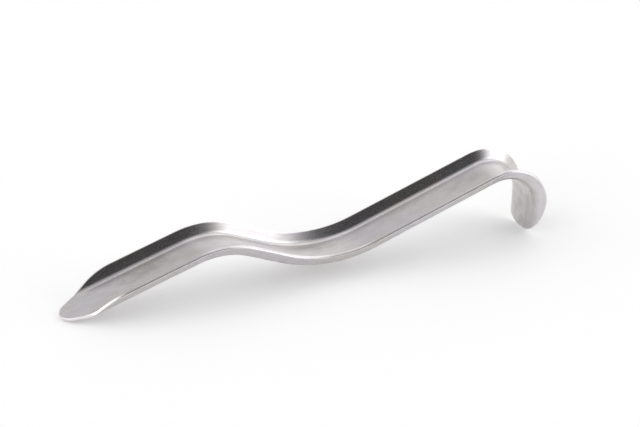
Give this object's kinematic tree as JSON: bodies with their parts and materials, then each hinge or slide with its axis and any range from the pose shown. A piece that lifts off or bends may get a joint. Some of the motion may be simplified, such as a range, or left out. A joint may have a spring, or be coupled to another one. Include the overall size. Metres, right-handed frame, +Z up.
{
  "type": "surgical retractor",
  "caption": "Hand-held lever retractor: one pressed trough of satin stainless sheet bent into an S, with a tapered tongue and a rounded hook.",
  "frame": {"origin": "middle of the bounding box on the surface that the retractor stands on", "axes": "+X from the tongue towards the hook, +Y across the strip, +Z up, out of the open side of the trough"},
  "size_m": [0.277, 0.031, 0.044],
  "materials": {
    "stainless_sheet": "satin"
  },
  "bodies": {
    "root": {"retractor_body": "stainless_sheet"}
  },
  "joints": []
}
